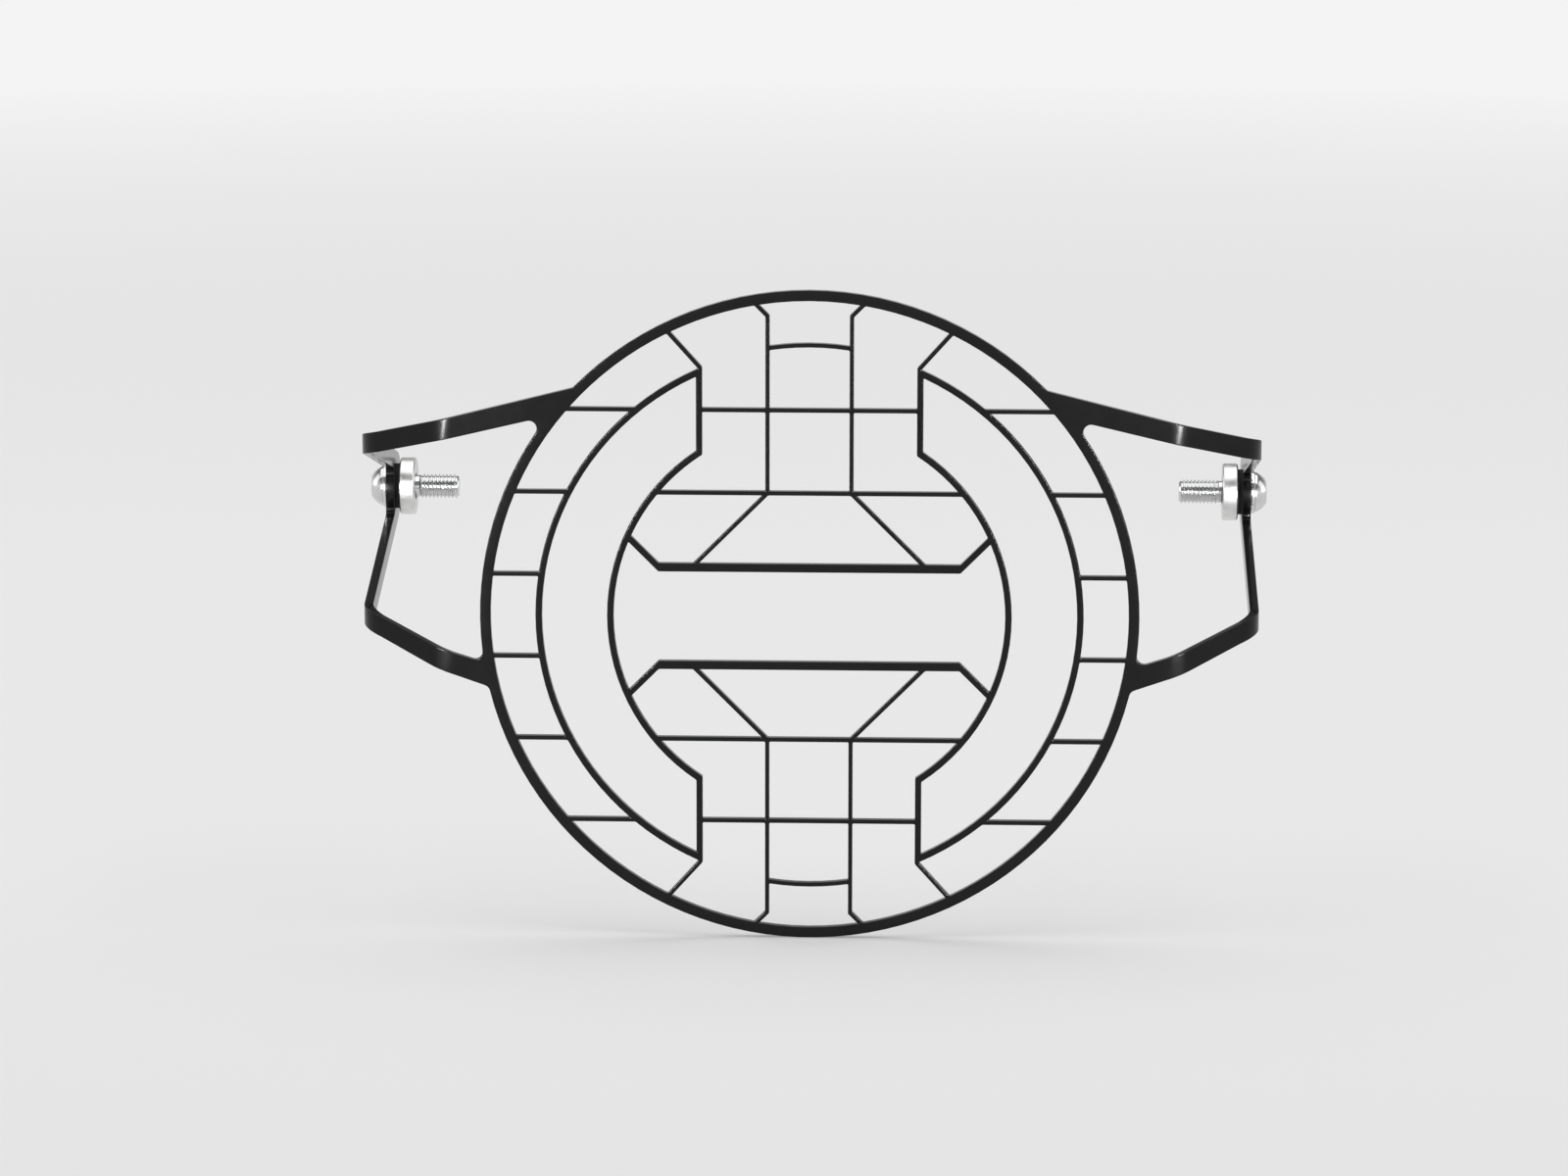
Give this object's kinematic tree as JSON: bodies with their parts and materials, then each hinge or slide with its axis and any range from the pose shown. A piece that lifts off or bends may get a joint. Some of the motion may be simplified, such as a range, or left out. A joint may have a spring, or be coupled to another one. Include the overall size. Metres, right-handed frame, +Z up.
{
  "type": "motorcycle headlight guard",
  "caption": "Round folded-sheet grille that stands in front of a motorcycle headlamp on two side brackets, held by a screw, washer, thin pad and spacer at each tab.",
  "frame": {"origin": "middle of the ring, on the back face of the grille, where the lamp's axis passes", "axes": "+X to the viewer's right of the grille's front, +Y backwards from the grille to the tabs, +Z up"},
  "size_m": [0.2978, 0.1085, 0.21],
  "materials": {
    "black_powder_coat": "satin",
    "zinc_plate": "polished",
    "black_rubber": "matte",
    "turned_aluminium": "satin"
  },
  "bodies": {
    "root": {"guard_frame": "black_powder_coat", "right_screw": "zinc_plate", "left_screw": "zinc_plate", "right_washer": "zinc_plate", "left_washer": "zinc_plate", "right_pad": "black_rubber", "left_pad": "black_rubber", "right_spacer": "turned_aluminium", "left_spacer": "turned_aluminium"}
  },
  "joints": []
}
